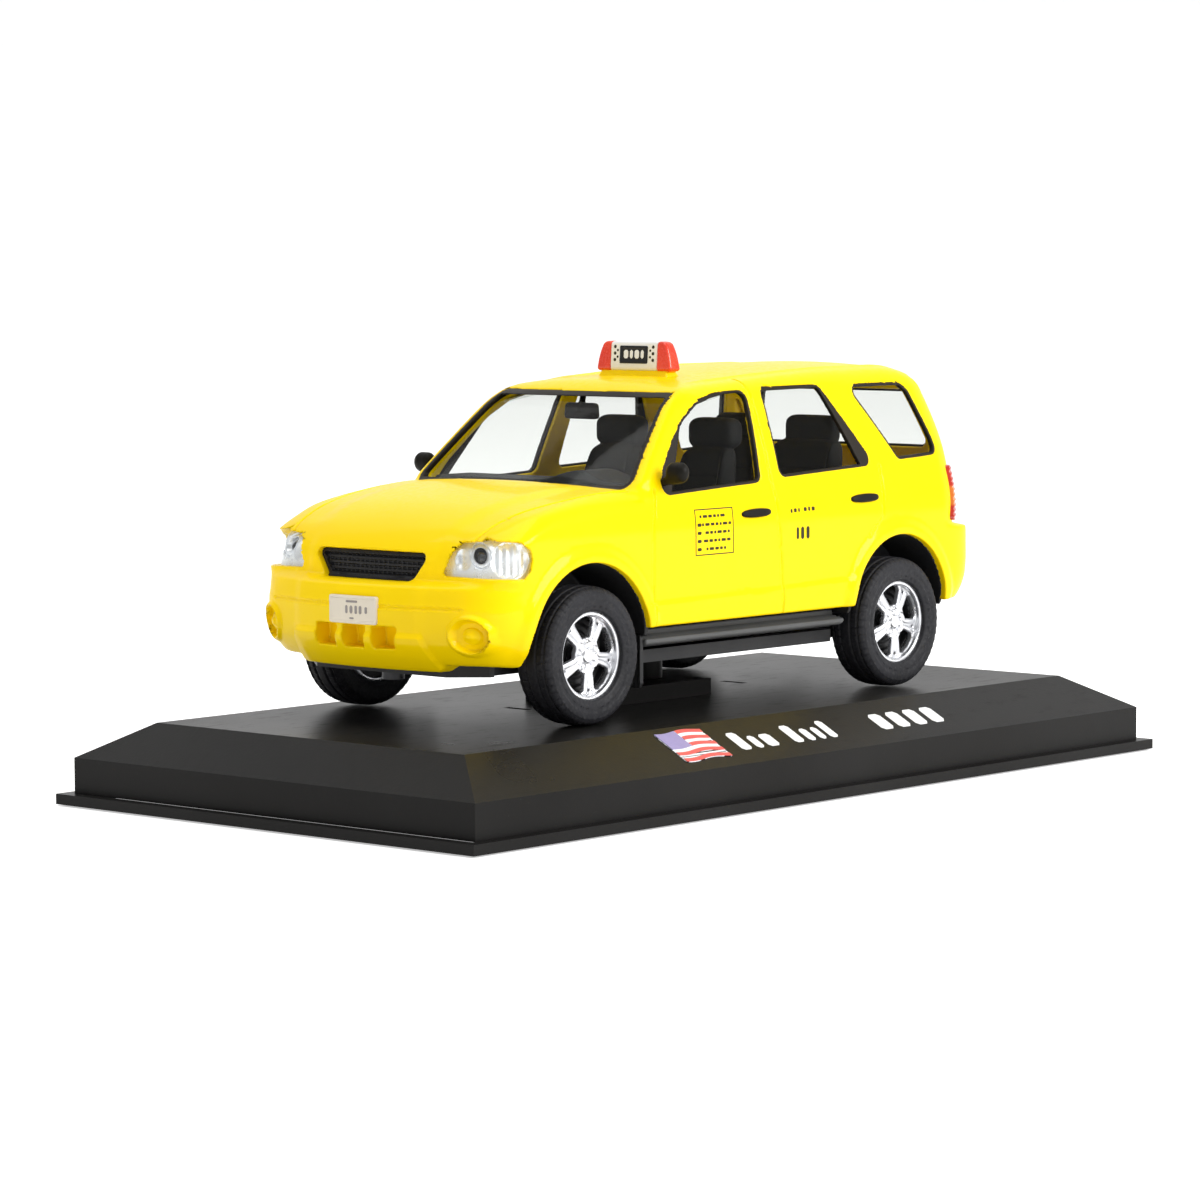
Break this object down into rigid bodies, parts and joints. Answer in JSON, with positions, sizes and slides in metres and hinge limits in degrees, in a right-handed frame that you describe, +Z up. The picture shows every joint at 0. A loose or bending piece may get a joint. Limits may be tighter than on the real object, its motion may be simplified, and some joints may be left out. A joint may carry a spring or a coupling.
{
  "type": "diecast collector car",
  "caption": "Boxy compact utility vehicle taxi in small scale, with a roof sign and free-rolling wheels, fixed on a black stepped display plinth.",
  "frame": {"origin": "centre of the plinth's underside, on the surface it stands on", "axes": "+Z up; the car's nose points to -X; the display front of the plinth, the car's left side, faces -Y"},
  "size_m": [0.1344, 0.0706, 0.0559],
  "materials": {
    "plinth_plastic": "satin",
    "plated_steel": "satin",
    "printed_label": "gloss",
    "body_paint": "gloss",
    "chassis_plastic": "satin",
    "interior_plastic": "matte",
    "clear_glazing": "gloss",
    "clear_lens": "gloss",
    "lamp_chrome": "gloss",
    "black_trim": "satin",
    "plate_print": "satin",
    "red_lens": "gloss",
    "sign_white": "gloss",
    "rim_chrome": "gloss",
    "tyre_rubber": "matte"
  },
  "bodies": {
    "root": {"plinth": "plinth_plastic", "pedestal": "plinth_plastic", "base_screws": "plated_steel", "emblem_label": "printed_label", "body_shell": "body_paint", "chassis": "chassis_plastic", "chassis_screws": "plated_steel", "interior_tub": "interior_plastic", "front_seat_left": "interior_plastic", "front_seat_right": "interior_plastic", "rear_bench": "interior_plastic", "dashboard": "interior_plastic", "steering_wheel": "interior_plastic", "windscreen": "clear_glazing", "side_glazing_left": "clear_glazing", "side_glazing_right": "clear_glazing", "tailgate_glass": "clear_glazing", "headlamp_lens_left": "clear_lens", "headlamp_lens_right": "clear_lens", "headlamp_reflector_left": "lamp_chrome", "headlamp_reflector_right": "lamp_chrome", "grille_insert": "black_trim", "front_plate": "plate_print", "rear_plate": "plate_print", "fog_lamp_left": "body_paint", "fog_lamp_right": "body_paint", "tail_lamp_left": "red_lens", "tail_lamp_right": "red_lens", "mirror_left": "black_trim", "mirror_right": "black_trim", "door_handles_left": "black_trim", "door_handles_right": "black_trim", "roof_sign_base": "body_paint", "roof_sign_body": "sign_white", "roof_sign_panel": "black_trim", "roof_sign_end_caps": "red_lens", "running_board_left": "chassis_plastic", "running_board_right": "chassis_plastic", "mud_flaps": "chassis_plastic", "exhaust_pipe": "plated_steel"},
    "front_wheels": {"front_axle_rod": "plated_steel", "front_rim_left": "rim_chrome", "front_rim_right": "rim_chrome", "front_tyre_left": "tyre_rubber", "front_tyre_right": "tyre_rubber"},
    "rear_wheels": {"rear_axle_rod": "plated_steel", "rear_rim_left": "rim_chrome", "rear_rim_right": "rim_chrome", "rear_tyre_left": "tyre_rubber", "rear_tyre_right": "tyre_rubber"}
  },
  "joints": [
    {"name": "front_axle_spin", "type": "hinge", "parent": "root", "child": "front_wheels", "pos_m": [-0.0279, 0.0025, 0.01865], "axis": [0, 1, 0], "continuous": true},
    {"name": "rear_axle_spin", "type": "hinge", "parent": "root", "child": "rear_wheels", "pos_m": [0.033, 0.0025, 0.01865], "axis": [0, 1, 0], "continuous": true}
  ]
}
